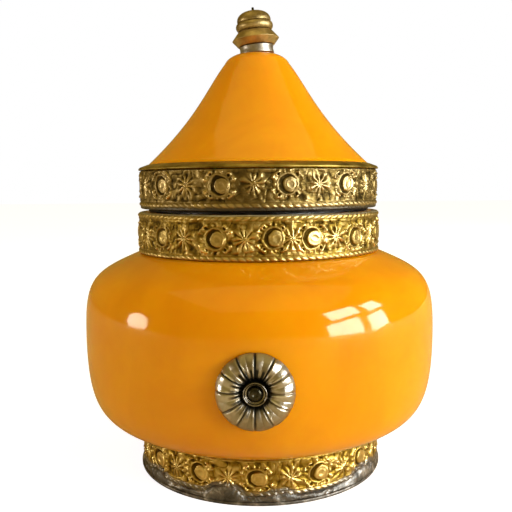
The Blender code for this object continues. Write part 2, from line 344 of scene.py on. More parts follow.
def embossed_brass(name, recess, ground, crest, edge):
    """Pressed brass strip: brown tarnish in its recesses, rubbed bright on its crests.

    Where the strip's "tin" attribute is 1, edge is its colour.
    """
    s = Shader(name, Metallic=1.0)
    relief = s.attribute("relief")
    grime = s.noise(420, 4, 0.6)
    level = s.math("ADD", relief, s.math("MULTIPLY", s.math("SUBTRACT", grime, 0.5), 0.35))
    colour = s.ramp(level, (0.10, recess), (0.36, ground), (0.95, crest))
    patch = s.ramp(s.noise(110, 4, 0.6), (0.50, 0.0), (0.70, 0.6))
    colour = s.mix(patch, colour, tuple(0.5 * a + 0.8 * b for a, b in zip(ground, recess)))
    colour = s.mix(s.attribute("tin"), colour, edge)
    rough = s.ramp(level, (0.1, 0.55), (0.5, 0.40), (0.9, 0.26))
    pitted = s.bump(s.noise(1800, 3, 0.7), 0.00006, 0.5)
    return s.finish(Base_Color=colour, Roughness=rough, Normal=pitted)


def worn_metal(name, dark, light, rough, scale=220):
    """Plain metal with uneven tarnish and fine marks."""
    s = Shader(name, Metallic=1.0)
    stain = s.noise(scale, 5, 0.6, distortion=0.4)
    colour = s.ramp(stain, (0.32, dark), (0.68, light))
    roughness = s.ramp(s.noise(scale * 1.7, 4, 0.6), (0.3, rough[0]), (0.7, rough[1]))
    normal = s.bump(s.noise(900, 4, 0.65), 0.00003, 0.6)
    return s.finish(Base_Color=colour, Roughness=roughness, Normal=normal)


def pressed_silver():
    """Silver-coloured sheet, toned by its "relief" attribute: warm tarnish and painted shade in its
    creases and middle, painted highlights on its ridges.
    """
    s = Shader("pressed_silver", Metallic=1.0)
    relief = s.attribute("relief")
    stain = s.math("SUBTRACT", s.noise(500, 4, 0.6), 0.5)
    level = s.math("ADD", relief, s.math("MULTIPLY", stain, 0.3))
    colour = s.ramp(
        level,
        (0.1, (0.028, 0.027, 0.022)),
        (0.45, (0.35, 0.295, 0.215)),
        (0.8, (0.74, 0.70, 0.645)),
    )
    rough = s.ramp(level, (0.1, 0.45), (0.6, 0.28))
    normal = s.bump(s.noise(1500, 3, 0.6), 0.00002, 0.4)
    return s.finish(Base_Color=colour, Roughness=rough, Normal=normal)


def solder_metal():
    """Dull grey solder, lumpy, with darker flux stains."""
    s = Shader("solder_metal", Metallic=0.85)
    stain = s.noise(260, 5, 0.65, distortion=0.5)
    colour = s.ramp(
        stain,
        (0.34, (0.05, 0.046, 0.038)),
        (0.54, (0.185, 0.17, 0.146)),
        (0.72, (0.60, 0.57, 0.515)),
    )
    rough = s.ramp(s.noise(500, 3, 0.6), (0.3, 0.36), (0.7, 0.62))
    lumps = s.bump(s.noise(700, 4, 0.6), 0.00025, 0.7)
    return s.finish(Base_Color=colour, Roughness=rough, Normal=lumps)


MATERIALS = {
    "resin": amber_resin(),
    "lid_brass": embossed_brass(
        "lid_brass",
        recess=(0.036, 0.023, 0.006),
        ground=(0.185, 0.123, 0.034),
        crest=(0.72, 0.545, 0.26),
        # The lid strip's lip: grey-brown tin, darkened further as painted shade over the gap below
        # the lid.
        edge=(0.07, 0.062, 0.05),
    ),
    "neck_brass": embossed_brass(
        "neck_brass",
        recess=(0.05, 0.029, 0.004),
        ground=(0.25, 0.155, 0.022),
        crest=(0.86, 0.655, 0.265),
        edge=(0.62, 0.59, 0.54),
    ),
    "foot_brass": embossed_brass(
        "foot_brass",
        recess=(0.07, 0.037, 0.003),
        ground=(0.35, 0.215, 0.024),
        crest=(1.0, 0.765, 0.30),
        edge=(0.22, 0.20, 0.17),
    ),
    "bezel": worn_metal("bezel_brass", (0.16, 0.105, 0.016), (0.47, 0.34, 0.085), (0.36, 0.5)),
    "bead": worn_metal("bead_brass", (0.13, 0.08, 0.019), (0.67, 0.505, 0.235), (0.33, 0.5), 150),
    "silver": pressed_silver(),
    "eyelet": worn_metal("eyelet_silver", (0.10, 0.085, 0.06), (0.34, 0.30, 0.25), (0.14, 0.3)),
    "ferrule": worn_metal("ferrule_silver", (0.20, 0.155, 0.10), (0.60, 0.56, 0.50), (0.34, 0.5)),
    "dark": worn_metal("dark_steel", (0.016, 0.014, 0.008), (0.07, 0.062, 0.042), (0.2, 0.36)),
    # Near-black metal for the lid's seat ring: painted shadow for the dark gap between the lid and
    # the neck.
    "shade": worn_metal("painted_gap_shadow_metal", (0.010, 0.009, 0.008), (0.05, 0.045, 0.04), (0.5, 0.7)),
    "bright_tin": worn_metal("rubbed_tin", (0.34, 0.32, 0.29), (0.78, 0.75, 0.71), (0.25, 0.4)),
    "tin": worn_metal("tinned_sheet", (0.13, 0.12, 0.11), (0.40, 0.38, 0.35), (0.35, 0.6)),
    "solder": solder_metal(),
}


def dress(obj, material, body, node):
    """Gives a piece its material and ties it to the CAD node that it stands for."""
    obj.data.materials.append(MATERIALS[material])
    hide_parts(node)
    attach(obj, body)


# The resin bowl and lid.

PLATE_RADIUS, _, PLATE_TOP = extent("foot_base_plate")
BELLY_RADIUS, BOWL_BOTTOM, NECK_TOP = extent("bowl")
FOOT_CREST, _, FOOT_BAND_TOP = extent("foot_band")
NECK_CREST, NECK_BAND_BOTTOM, _ = extent("neck_band")
LID_CREST, _, LID_BAND_TOP = extent("lid_band")
STRIP_BUILD = 1.65  # from the resin to the crest of the strip round it
BELLY_HEIGHT = 39.0
CHAMBER_FLOOR = 12.5
NECK_LEDGE_RADIUS = 35.0
FOOT_LEDGE_RADIUS = 35.1
MOUTH_RADIUS = 28.6
LID_BORE = 28.4
LID_BORE_TOP = 82.8
LID_CEILING = 110.2
CONE_FOOT_RADIUS = 30.8
CONE_TOP = 117.55


def bowl_section():
    """From the middle of the chamber's floor, up inside, over the neck and down outside."""
    middle = (BELLY_RADIUS, BELLY_HEIGHT)
    inside_radius = BELLY_RADIUS - WALL
    inside = (inside_radius, BELLY_HEIGHT)
    floor = (0, CHAMBER_FLOOR)
    floor_edge = (34, 16.8)
    throat = (32, 56.6)
    mouth = (MOUTH_RADIUS, 60.2)
    neck = NECK_CREST - STRIP_BUILD
    ledge = NECK_BAND_BOTTOM - FIT_GAP
    foot = FOOT_CREST - STRIP_BUILD
    foot_ledge = FOOT_BAND_TOP + FIT_GAP
    foot_corner = (FOOT_LEDGE_RADIUS, foot_ledge)
    points = [floor]
    points += bezier(floor, (20, CHAMBER_FLOOR), (28, 13.6), floor_edge, 20)
    points += bezier(floor_edge, (43, 19.6), (inside_radius, 22.5), inside, 24)
    points += bezier(inside, (inside_radius, 50.3), (43.5, 52.0), throat, 24)
    points += bezier(throat, (29.8, 57.5), (MOUTH_RADIUS, 58.3), mouth, 8)
    points += [(MOUTH_RADIUS, NECK_TOP), (neck, NECK_TOP), (neck, ledge)]
    points += [(NECK_LEDGE_RADIUS - 0.3, ledge)]
    points += bezier((NECK_LEDGE_RADIUS, ledge), (47.8, 56.2), (BELLY_RADIUS, 55.3), middle, 40)
    points += bezier(middle, (BELLY_RADIUS, 16.3), (45.2, 16.2), foot_corner, 40)
    points += [(foot, foot_ledge), (foot, BOWL_BOTTOM), (0, BOWL_BOTTOM)]
    return points


def lid_section():
    """From the middle of the ceiling inside, down to the skirt and up the cone."""
    radius, bottom, _ = extent("lid_cone")
    ceiling = (0, LID_CEILING)
    corner = (8.2, 107.6)
    bore = (LID_BORE, LID_BORE_TOP)
    under_bezel = (CONE_FOOT_RADIUS + 0.3, 85.85)
    foot = (CONE_FOOT_RADIUS + 0.45, 86.75)
    crown = (9.2, 114.9)
    points = [ceiling]
    points += bezier(ceiling, (4.5, LID_CEILING), (6.6, 109.8), corner, 10)
    points += bezier(corner, (12.0, 101.0), (18.0, 94.0), bore, 24)
    points += [(LID_BORE, bottom), (radius, bottom), (radius, LID_BAND_TOP), under_bezel, foot]
    points += bezier(foot, (17.3, 99.8), (14.2, 108.6), crown, 48)
    points += bezier(crown, (8.7, 116.2), (6.6, 117.4), (4.9, CONE_TOP), 12)
    points += [(0, CONE_TOP)]
    return points


def make_resin():
    """The two turned pieces: the bowl and the lid's cone."""
    bowl = turned("resin_bowl", bowl_section(), 180)
    dress(bowl, "resin", "jar", "bowl")
    cone = turned("resin_lid_cone", lid_section(), 180)
    dress(cone, "resin", "lid", "lid_cone")


# The embossed strips.

RELIEF_DEPTH = 0.27  # deepest recess below the ground
RELIEF_RISE = 0.48  # highest crest above the ground
STRIP_THICKNESS = 0.9  # from the crest to the back
EDGE_ROUNDING = 0.22
EDGE_WAVER = 0.06
ROPE_WIDTH = 1.15
ROPE_PITCH = 1.95
ROPE_RISE = 0.42
STRIP_COLS = 1200
STRIP_ROWS = 66
MOTIF_DRAWS = 64  # more than there are motifs round any strip
# Thick places in the solder round the foot: (angle, half width, extra height).
SOLDER_BLOBS = (
    (-15, 8, 2.3),
    (9, 6, 0.9),
    (57, 11, 1.8),
    (-52, 7, 1.0),
    (120, 10, 1.6),
    (-140, 12, 2.0),
    (168, 6, 1.2),
)


def disc(du, dv):
    """A ring with a raised disc off-centre in it, and a sunken crescent between them."""
    reach = np.hypot(du, dv)
    inner = np.hypot(du - 0.72, dv + 0.1)
    height = 0.20 * np.exp(-(((reach - 3.1) / 0.24) ** 2))
    height -= 0.24 * (1 - step_between(2.6, 2.85, reach))
    height += 0.46 * (1 - step_between(2.1, 2.4, inner))
    height += 0.07 * np.exp(-(((inner - 1.15) / 0.25) ** 2))
    height -= 0.05 * np.exp(-((inner / 0.6) ** 2))
    return height, reach


def flower(du, dv, spin):
    """A star of ten creased rays, long and short by turns, with a small boss."""
    reach = np.hypot(du, dv)
    turn = np.arctan2(dv, du) + spin
    length = 3.5 + 0.75 * np.cos(5 * turn + 1.0)
    wave = np.abs(np.cos(5 * turn))
    ray = wave**1.8
    height = 0.52 * np.clip(1 - reach / length, 0, 1) ** 0.7 * ray
    height -= 0.30 * np.clip(1 - reach / 2.9, 0, 1) ** 0.5 * (1 - wave) ** 2
    height += 0.26 * np.exp(-((reach / 0.9) ** 2))
    return height, reach


def scrolls(du, dv):
    """Hooked leaves, drops and pits in the four corners round a disc."""
    side, up = np.abs(du), np.abs(dv)
    arc = np.abs(np.hypot(side - 1.7, up - 0.9) - 2.9)
    along = np.arctan2(up - 0.9, side - 1.7)
    taper = step_between(0.0, 0.35, along) * (1 - step_between(1.15, 1.45, along))
    height = 0.34 * np.exp(-((arc / 0.34) ** 2)) * taper
    hook = np.hypot(side - 2.7, up - 3.0)
    height += 0.30 * np.exp(-(((hook - 0.62) / 0.2) ** 2)) * (side > 2.2)
    height -= 0.34 * np.exp(-((hook / 0.4) ** 2))
    drop = np.hypot((side - 0.75) * 1.2, up - 3.75)
    height += 0.30 * np.exp(-((drop / 0.42) ** 4))
    leaf = np.abs(up - 1.35 - 0.35 * (side - 3.2)) / 0.32
    leaf_length = step_between(3.2, 3.6, side) * (1 - step_between(4.6, 5.2, side))
    height += 0.22 * np.exp(-(leaf**2)) * leaf_length
    bud = np.hypot((side - 4.0) * 0.8, up - 0.1)
    height += 0.24 * np.exp(-((bud / 0.4) ** 2))
    return height


def rope(u, edge):
    """A twisted border, where edge is the distance from its outer side."""
    across = np.clip(edge / ROPE_WIDTH, 0, 1)
    strand = np.abs(np.sin(math.pi * (u / ROPE_PITCH + 0.6 * across)))
    return ROPE_RISE * np.sin(math.pi * across) ** 0.7 * (0.12 + 0.88 * strand)


def spread(front, count):
    """Angles of all the motifs round a strip: those in front, then evenly on to close."""
    first, last = front[0], front[-1]
    rest = np.linspace(last, first + 360, count - len(front) + 2)[1:-1]
    return np.concatenate([front, rest])


def nearest(degrees, places):
    """For each angle, the nearest place's number and the angle from it."""
    off = (degrees[..., None] - places + 180) % 360 - 180
    number = np.abs(off).argmin(-1)
    return number, np.take_along_axis(off, number[..., None], -1)[..., 0]


def each_motif(numbers, seed, low, high):
    """One random value per motif, spread over the strip."""
    rng = np.random.default_rng(SEED + seed)
    return rng.uniform(low, high, MOTIF_DRAWS)[numbers]


def strip_relief(degrees, u, v, high, discs, lip, scale, seed, rise, upper):
    """Height of the pattern over the strip's ground, in millimetres.

    Below the lower rope there may be a plain lip. The motifs sit off the middle by rise, and upper
    is the strength of the upper rope.
    """
    per_degree = (u.max() + u.flat[1]) / 360
    warp_u = 0.24 * strip_noise(u, v, seed, 2.6) + 0.12 * strip_noise(u, v, seed + 10, 0.9)
    warp_v = 0.24 * strip_noise(u, v, seed + 11, 2.6) + 0.12 * strip_noise(u, v, seed + 12, 0.9)
    middle = (high + lip) / 2 + rise + 0.15 * strip_noise(u, v, seed + 1, 9.0)
    dv = v - middle + warp_v
    number, off = nearest(degrees, discs)
    size = scale * each_motif(number, seed + 13, 0.94, 1.06)
    disc_u = (off * per_degree + warp_u) / size
    disc_v = (dv + each_motif(number, seed + 15, -0.25, 0.25)) / size
    flowers = discs + (np.roll(discs, -1) - discs) % 360 / 2
    number, off = nearest(degrees, flowers)
    flower_u = off * per_degree + each_motif(number, seed + 16, -0.4, 0.4) + warp_u
    turned_by = each_motif(number, seed + 17, -0.5, 0.5)
    disc_height, disc_reach = disc(disc_u, disc_v)
    flower_height, flower_reach = flower(flower_u, dv, turned_by)
    near_disc = 1 - step_between(3.35, 3.6, disc_reach)
    corner = scrolls(disc_u, disc_v) * (1 - near_disc) * step_between(1.4, 2.6, flower_reach)
    lines = np.exp(-((strip_noise(u, v, seed + 18, 1.7) / 0.13) ** 2))
    lines = lines + 0.6 * np.exp(-((strip_noise(u, v, seed + 19, 1.1) / 0.12) ** 2))
    ground = 0.20 * strip_noise(u, v, seed + 20, 1.3) - 0.18 * lines + 0.02
    ground = ground * (1 - 0.8 * near_disc) * step_between(1.0, 2.6, flower_reach)
    height = disc_height * near_disc + flower_height * (1 - near_disc) + corner + ground
    from_rope = np.minimum(v - lip, high - v + ROPE_WIDTH * (1 - upper))
    height = height * step_between(ROPE_WIDTH, ROPE_WIDTH + 0.5, from_rope)
    height += 0.85 * rope(u, v - lip) + 0.75 * upper * rope(u + 0.7, high - 0.12 - v)
    line = from_rope - ROPE_WIDTH - 0.4
    height += 0.10 * np.exp(-((line / 0.15) ** 2)) * (1 - near_disc)
    worn = 0.5 + 0.5 * strip_noise(u, v, seed + 2, 14.0)
    height *= 0.80 + 0.30 * worn
    height += 0.03 * strip_noise(u, v, seed + 3, 0.6) + 0.03 * strip_noise(u, v, seed + 4, 1.6)
    return np.clip(height, -RELIEF_DEPTH, RELIEF_RISE)


def embossed_strip(
    name, node, discs, scale, seed, lip=0.12, trim=0.0, rise=0.0, upper=1.0, smear=None, edging=0.0
):
    """A strip with its top trimmed short by trim.

    Its "tin" attribute marks a bare or soldered edge: the lowest part, up to the lip or to smear's
    height, or else the topmost part, as wide as edging.
    """
    crest, bottom, top = extent(node)
    high = top - bottom
    turn = math.tau * np.arange(STRIP_COLS) / STRIP_COLS
    degrees = (np.degrees(turn) + 180) % 360 - 180
    ground = crest - RELIEF_RISE - 0.02
    u = np.broadcast_to(turn * ground, (STRIP_ROWS, STRIP_COLS))
    v = np.broadcast_to(np.linspace(0, high, STRIP_ROWS)[:, None], u.shape)
    degrees = np.broadcast_to(degrees, u.shape)
    relief = strip_relief(degrees, u, v, high, discs, lip, scale, seed, rise, upper)
    dent = 0.05 * round_noise(turn, seed + 5, 9)
    outer = ground + relief - 0.05 + dent
    edge = np.minimum(v, high - v)
    outer = outer - EDGE_ROUNDING * (1 - step_between(0.0, EDGE_ROUNDING, edge))
    outer = np.minimum(outer, crest)
    back = np.full((1, STRIP_COLS), crest - STRIP_THICKNESS)
    # The edges are trimmed by hand, so they waver a little.
    low = bottom + EDGE_WAVER * (1 + round_noise(turn, seed + 6, 24, 0.5)) * 0.5
    peak = top - trim - EDGE_WAVER * (1 + round_noise(turn, seed + 7, 24, 0.5)) * 0.5
    share = np.linspace(0, 1, STRIP_ROWS)[:, None]
    heights = low * (1 - share) + peak * share
    radii = np.vstack([back, outer, back])
    heights = np.vstack([low[None], heights, peak[None]])
    obj = around(name, radii, heights)
    scaled = (relief + RELIEF_DEPTH) / (RELIEF_DEPTH + RELIEF_RISE)
    store(obj, "relief", np.vstack([np.full_like(back, 0.3), scaled, np.full_like(back, 0.3)]))
    lift = heights - bottom
    if edging:
        tin = step_between(high - edging - 0.1, high - edging, lift)
    else:
        smear_top = smear(turn) if smear else lip + 0.15 * round_noise(turn, seed + 9, 60, 0.4)
        tin = 0.9 * (1 - step_between(smear_top - 0.35, smear_top + 0.45, lift))
    store(obj, "tin", tin)
    return obj


def solder_rise(turn):
    """How far up the foot's strip the solder runs: a thin run with thick places."""
    degrees = (np.degrees(turn) + 180) % 360 - 180
    rise = 1.0 + 0.45 * round_noise(turn, 51, 11, 0.7) + 0.22 * round_noise(turn, 52, 50, 0.4)
    for at, width, more in SOLDER_BLOBS:
        off = (degrees - at + 180) % 360 - 180
        rise = rise + more * np.exp(-((off / width) ** 4))
    return np.clip(rise, 0.5, 4.2)


def solder_smear(turn):
    """How far up the foot's strip the brass is tinned."""
    return solder_rise(turn) + 0.2


def make_strips():
    """The foot's, the neck's and the lid's strips, with the discs in front at their own places."""
    discs = spread((-51.6, -26.1, -0.7, 26.9, 52.4), 14)
    style = {"scale": 0.86, "lip": 0.3, "trim": 0.25, "upper": 0.2, "smear": solder_smear}
    foot = embossed_strip("foot_brass_strip", "foot_band", discs, seed=100, **style)
    dress(foot, "foot_brass", "jar", "foot_band")
    discs = spread((-45.6, -17.0, 7.1, 23.9, 47.9), 15)
    style = {"scale": 0.9, "rise": -0.25, "edging": 0.16}
    neck = embossed_strip("neck_brass_strip", "neck_band", discs, seed=200, **style)
    dress(neck, "neck_brass", "jar", "neck_band")
    discs = spread((-46.1, -15.0, 13.6, 42.4), 12)
    style = {"scale": 0.84, "lip": 0.75, "rise": 0.75, "upper": 0.0}
    lid = embossed_strip("lid_brass_strip", "lid_band", discs, seed=300, **style)
    dress(lid, "lid_brass", "lid", "lid_band")


# Plain sheet metal and solder.

NECK_CAP_BORE = 29.2
SEAT_RING_BORE = 28.3
COLLAR_SHEET = 0.7
BEND_SWAY = 0.08
RING_COLS = 240
SOLDER_COLS = 1080
SOLDER_ROWS = 18


def hand_bent(radii, heights, turn):
    """A wobble for sheet that was bent by hand."""
    sway = round_noise(turn, 41, 7)
    return radii - BEND_SWAY * (0.5 + 0.5 * sway), heights


def make_sheet_metal():
    """The plain rings and the plate that the strips and the resin are fitted to."""
    inner = FOOT_CREST - STRIP_BUILD + FIT_GAP
    _, bottom, top = extent("foot_liner_ring")
    liner = turned("foot_liner", soften(tube(inner, inner + SHEET, bottom, top), 0.1), 120)
    dress(liner, "tin", "jar", "foot_liner_ring")

    plate = [(0, 0), (PLATE_RADIUS, 0), (PLATE_RADIUS, PLATE_TOP), (0, PLATE_TOP)]
    plate = turned("foot_plate", soften(plate, 0.35, 5, closed=False), RING_COLS)
    dress(plate, "solder", "jar", "foot_base_plate")

    neck = NECK_CREST - STRIP_BUILD
    _, bottom, top = extent("neck_rim_cap")
    cap = [
        (neck + FIT_GAP, bottom),
        (neck + FIT_GAP + SHEET, bottom),
        (neck + FIT_GAP + SHEET, top),
        (NECK_CAP_BORE, top),
        (NECK_CAP_BORE, top - SHEET),
        (neck + FIT_GAP, top - SHEET),
    ]
    cap = turned("neck_cap", soften(cap, 0.22, 4), RING_COLS)
    dress(cap, "bright_tin", "jar", "neck_rim_cap")

    radius, bottom, top = extent("lid_seat_ring")
    seat = tube(SEAT_RING_BORE, radius, bottom, top)
    seat = turned("lid_seat", soften(seat, 0.18, 4), RING_COLS)
    # The seat ring is painted near black as the shadow in the gap under the lid.
    dress(seat, "shade", "collar", "lid_seat_ring")
    radius, bottom, top = extent("lid_collar")
    collar = tube(radius - COLLAR_SHEET, radius, bottom, top)
    collar = turned("lid_inner_collar", soften(collar, 0.25, 4), RING_COLS)
    dress(collar, "tin", "collar", "lid_collar")

    lid_skirt = LID_CREST - STRIP_BUILD
    _, bottom, top = extent("lid_liner_ring")
    liner = tube(lid_skirt + FIT_GAP, lid_skirt + FIT_GAP + SHEET, bottom, top)
    liner = turned("lid_liner", soften(liner, 0.1), RING_COLS)
    dress(liner, "tin", "lid", "lid_liner_ring")

    radius, bottom, top = extent("lid_bezel")
    bezel = [
        (radius - 0.65, bottom),
        (radius, bottom),
        (radius, bottom + 0.35),
        (radius - 0.35, bottom + 0.75),
        (CONE_FOOT_RADIUS + 0.95, top - 0.3),
        (CONE_FOOT_RADIUS + 0.65, top - 0.7),
    ]
    bezel = turned("lid_shoulder_bezel", soften(bezel, 0.2, 4), RING_COLS, wobble=hand_bent)
    dress(bezel, "bezel", "lid", "lid_bezel")


def make_foot_solder():
    """Solder run along the strip's lower edge, with an uneven upper edge."""
    turn = math.tau * np.arange(SOLDER_COLS) / SOLDER_COLS
    bottom = PLATE_TOP + FIT_GAP
    rise = solder_rise(turn)
    share = np.linspace(0, 1, SOLDER_ROWS)[:, None]
    lumps = 0.16 * round_noise(turn, 53, 90, 0.25) + 0.10 * round_noise(turn, 54, 23, 0.4)
    ripples = 0.07 * np.sin(5 * share + 9 * round_noise(turn, 55, 30, 0.3))
    lumps = lumps * np.sin(math.pi * share) + ripples
    fat = np.clip(rise / 3, 0.4, 1)
    bulge = (PLATE_RADIUS - FOOT_CREST + 0.35) * (1 - share**2.2) * fat
    bulge = bulge - 0.32 * (1 - fat) - 0.3 * share**6
    outer = FOOT_CREST - 0.12 + bulge + lumps * 0.8
    outer = np.clip(outer, FOOT_CREST - 0.75, PLATE_RADIUS - 0.02)
    heights = bottom + rise * share
    back_radii = np.full((2, SOLDER_COLS), FOOT_CREST - 0.85)
    back_heights = np.vstack([heights[-1:], np.full((1, SOLDER_COLS), bottom)])
    radii = np.vstack([outer, back_radii])
    obj = around("foot_solder_run", radii, np.vstack([heights, back_heights]))
    dress(obj, "solder", "jar", "foot_solder_seam")


def lap_solder(name, node, body, seed):
    """A flattened, lumpy bead of solder up the back of a strip."""
    low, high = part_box(node)
    bottom, top = low[2] / MM, high[2] / MM
    inner, outer = low[1] / MM, high[1] / MM
    half = high[0] / MM
    rows, cols = 48, 16
    t = np.linspace(0, 1, rows)
    swell = 1 + 0.10 * round_noise(t * math.tau, seed, 9, 0.3)
    swell = np.clip(swell, 0.8, 1.0) * (1 - 0.5 * np.clip(np.abs(t - 0.5) * 2 - 0.92, 0, 1) / 0.08)
    verts = []
    for i in range(rows):
        for j in range(cols):
            a = math.tau * j / cols
            x = half * 0.95 * swell[i] * math.cos(a)
            bulge = max(0.0, math.sin(a)) * (outer - inner) * swell[i]
            y = inner + bulge if math.sin(a) > 0 else inner + 0.3 * math.sin(a)
            verts.append((x, y, bottom + (top - bottom) * t[i]))
    faces = grid_faces(rows, cols, False)
    faces.append(tuple(range(cols))[::-1])
    faces.append(tuple(range((rows - 1) * cols, rows * cols)))
    obj = make_object(name, np.array(verts), faces)
    dress(obj, "solder", body, node)


# The rosette.

# The pressed flower's section: distance from its centre, and height above the plane of its rim.
PETAL_SECTION = (
    (1.3, 0.95),
    (2.75, 0.92),
    (3.15, 1.2),
    (3.7, 1.8),
    (4.6, 2.25),
    (5.6, 2.43),
    (6.6, 2.33),
    (7.6, 1.9),
    (8.4, 1.25),
    (8.9, 0.6),
    (9.1, 0.3),
)
PETAL_SHEET = 0.5
PETAL_ROWS = 60
PETAL_COLS = 720
PETAL_DRAWS = 64  # more than there are creases round the flower
DOME_RISE = 0.26  # from a crease to the middle of a petal
# The side of the flower that is given painted shade, standing in for a dark reflection: its
# creases, wedges and middle are darkest there.
PAINTED_SHADE_SIDE = math.radians(222)  # in the flower's plane, from straight down towards +X


def out_of_belly(verts):
    """From heights above the jar's axis to the front of the belly."""
    x, y, z = verts.T
    return np.stack([x, -z, y + ROSETTE_HEIGHT], -1)


def make_petals(rim_plane):
    """A pressed flower: domed petals, parted by creases that each have a ridge beside them."""
    knots = np.array(PETAL_SECTION)
    reach = np.linspace(knots[0, 0], knots[-1, 0], PETAL_ROWS)
    crown = np.interp(reach, knots[:, 0], knots[:, 1])
    for _ in range(3):
        crown[1:-1] = (crown[:-2] + 2 * crown[1:-1] + crown[2:]) / 4
    turn = math.tau * np.arange(PETAL_COLS) / PETAL_COLS
    rho = reach[:, None]
    petal = math.tau / ROSETTE_PETALS
    number = np.round(turn / petal).astype(int)
    rng = np.random.default_rng(SEED + 61)
    shift = rng.uniform(-0.04, 0.04, PETAL_DRAWS)[number]
    ridge_side = rng.choice([-1.0, 1.0], PETAL_DRAWS)[number]
    ridge_size = rng.uniform(0.5, 1.0, PETAL_DRAWS)[number]
    ridge_end = rng.uniform(8.0, 9.0, PETAL_DRAWS)[number]
    off = turn - number * petal - shift
    across = off * rho
    share = np.abs(off) / (petal / 2)
    along = step_between(2.9, 4.0, rho) * (1 - 0.5 * step_between(8.5, 9.1, rho))
    valley = np.exp(-((across / (0.12 + 0.02 * rho)) ** 2))
    ridge = np.exp(-(((across * ridge_side - 0.42) / 0.17) ** 2)) * ridge_size
    ridge_start = step_between(2.9, 3.6, rho)
    ridge = ridge * ridge_start * (1 - step_between(ridge_end - 1.2, ridge_end, rho))
    # Short extra pleats run out of the middle, mostly in the upper left half, the side given
    # painted shade. The middle itself is painted dark as shade.
    painted_shade_side = 0.5 + 0.5 * np.cos(turn - PAINTED_SHADE_SIDE)
    wave = 2 * ROSETTE_PETALS * turn + 0.9 * round_noise(turn, 62, 9)
    pleats = np.cos(wave) * step_between(2.8, 3.4, rho) * (1 - step_between(4.2, 6.2, rho))
    pleats = pleats * (0.15 + 0.85 * painted_shade_side)
    dome = DOME_RISE * along * (1 - share**2)
    crease = -0.36 * valley * along + 0.28 * ridge + 0.10 * pleats
    front = crown[:, None] + crease + dome - DOME_RISE
    notch = 0.12 * np.exp(-((share / 0.22) ** 2)) * step_between(8.2, 9.1, rho)
    front_reach = np.broadcast_to(rho, front.shape) - notch
    outermost = -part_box("rosette_petals")[0][1] / MM
    front = np.minimum(rim_plane + front + PETAL_SHEET, outermost - 0.01)
    back = rim_plane + (crown[::4, None] - 0.3) + 0 * turn
    back = np.maximum(back, rim_plane)
    back_reach = np.broadcast_to(reach[::4, None], back.shape)
    radii = np.vstack([front_reach, back_reach[::-1]])
    heights = np.vstack([front, back[::-1]])
    obj = around("rosette_flower", radii, heights, out_of_belly)
    # The silver's tone, stored as its "relief": creases darker, partly tarnish and partly painted
    # shade that is strongest on the upper left, and ridges lighter as painted highlights.
    level = 0.62 - (0.20 + 0.30 * painted_shade_side) * valley * along + 0.4 * ridge
    # Painted shade: dark wedges out of the middle on the upper left.
    painted_shade_wedges = step_between(-0.1, 0.5, -np.cos(wave)) * (1 - step_between(4.9, 6.4, rho)) * painted_shade_side
    # Painted shade: the recess round the eyelet is darkened.
    ring = (1 - step_between(2.75, 3.35, rho)) * (0.45 + 0.55 * painted_shade_side)
    # The inner slopes are darkened too, as painted shade that dims their glints.
    level = level - 0.60 * np.maximum(painted_shade_wedges, ring) - 0.28 * (1 - step_between(3.4, 4.9, rho))
    # Painted shade: darker towards the top and the bottom of the flower.
    level = level - 0.11 * (1 + np.cos(2 * turn))
    store(obj, "relief", np.vstack([level, np.full_like(back, 0.4)]))
    dress(obj, "silver", "jar", "rosette_petals")


def make_rosette():
    """The flower with its eyelet, its washer inside the bowl and the rivet through them."""
    rim_plane = BELLY_RADIUS + FIT_GAP
    make_petals(rim_plane)
    seat = rim_plane + PETAL_SECTION[0][1] + PETAL_SHEET + FIT_GAP
    cup = [
        (1.85, seat),
        (2.6, seat),
        (2.78, seat + 0.5),
        (2.72, seat + 0.95),
        (2.58, seat + 1.04),
        (2.44, seat + 0.95),
        (2.3, seat + 0.55),
        (1.85, seat + 0.4),
    ]
    cup = turned("rosette_eyelet", soften(cup, 0.12, 4), 96, out_of_belly)
    dress(cup, "eyelet", "jar", "rosette_cup")

    low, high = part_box("rosette_backing_washer")
    outer = high[0] / MM
    washer_bottom, washer_top = -high[1] / MM, -low[1] / MM
    washer = soften(tube(1.2, outer, washer_bottom, washer_top), 0.2, 4)
    washer = turned("rosette_washer", washer, 72, out_of_belly)
    dress(washer, "tin", "jar", "rosette_backing_washer")

    tail = washer_bottom - FIT_GAP
    rivet = [
        (0, tail - 0.8),
        (0.9, tail - 0.78),
        (1.5, tail - 0.62),
        (1.95, tail - 0.05),
        (0.9, tail),
        (0.9, seat),
        (1.58, seat),
        (1.66, seat + 0.35),
        (1.55, seat + 0.75),
        (1.25, seat + 1.03),
        (0.9, seat + 1.17),
        (0.6, seat + 1.14),
        (0.45, seat + 0.98),
        (0.2, seat + 0.9),
        (0, seat + 0.89),
    ]
    rivet = turned("rosette_rivet_head", rivet, 64, out_of_belly)
    dress(rivet, "dark", "jar", "rosette_rivet")


# The finial. Heights are along the pin, from the ferrule's seat.

CEILING_SEAT = -7.4  # the flat inside the lid that the pin's washer bears on


def on_pin(verts):
    """From heights along the leaning pin to the jar's frame."""
    lean = math.radians(FINIAL_LEAN)
    x, y, z = verts.T
    leaning_x = x * math.cos(lean) - z * math.sin(lean)
    leaning_z = FINIAL_SEAT + x * math.sin(lean) + z * math.cos(lean)
    return np.stack([leaning_x, y, leaning_z], -1)


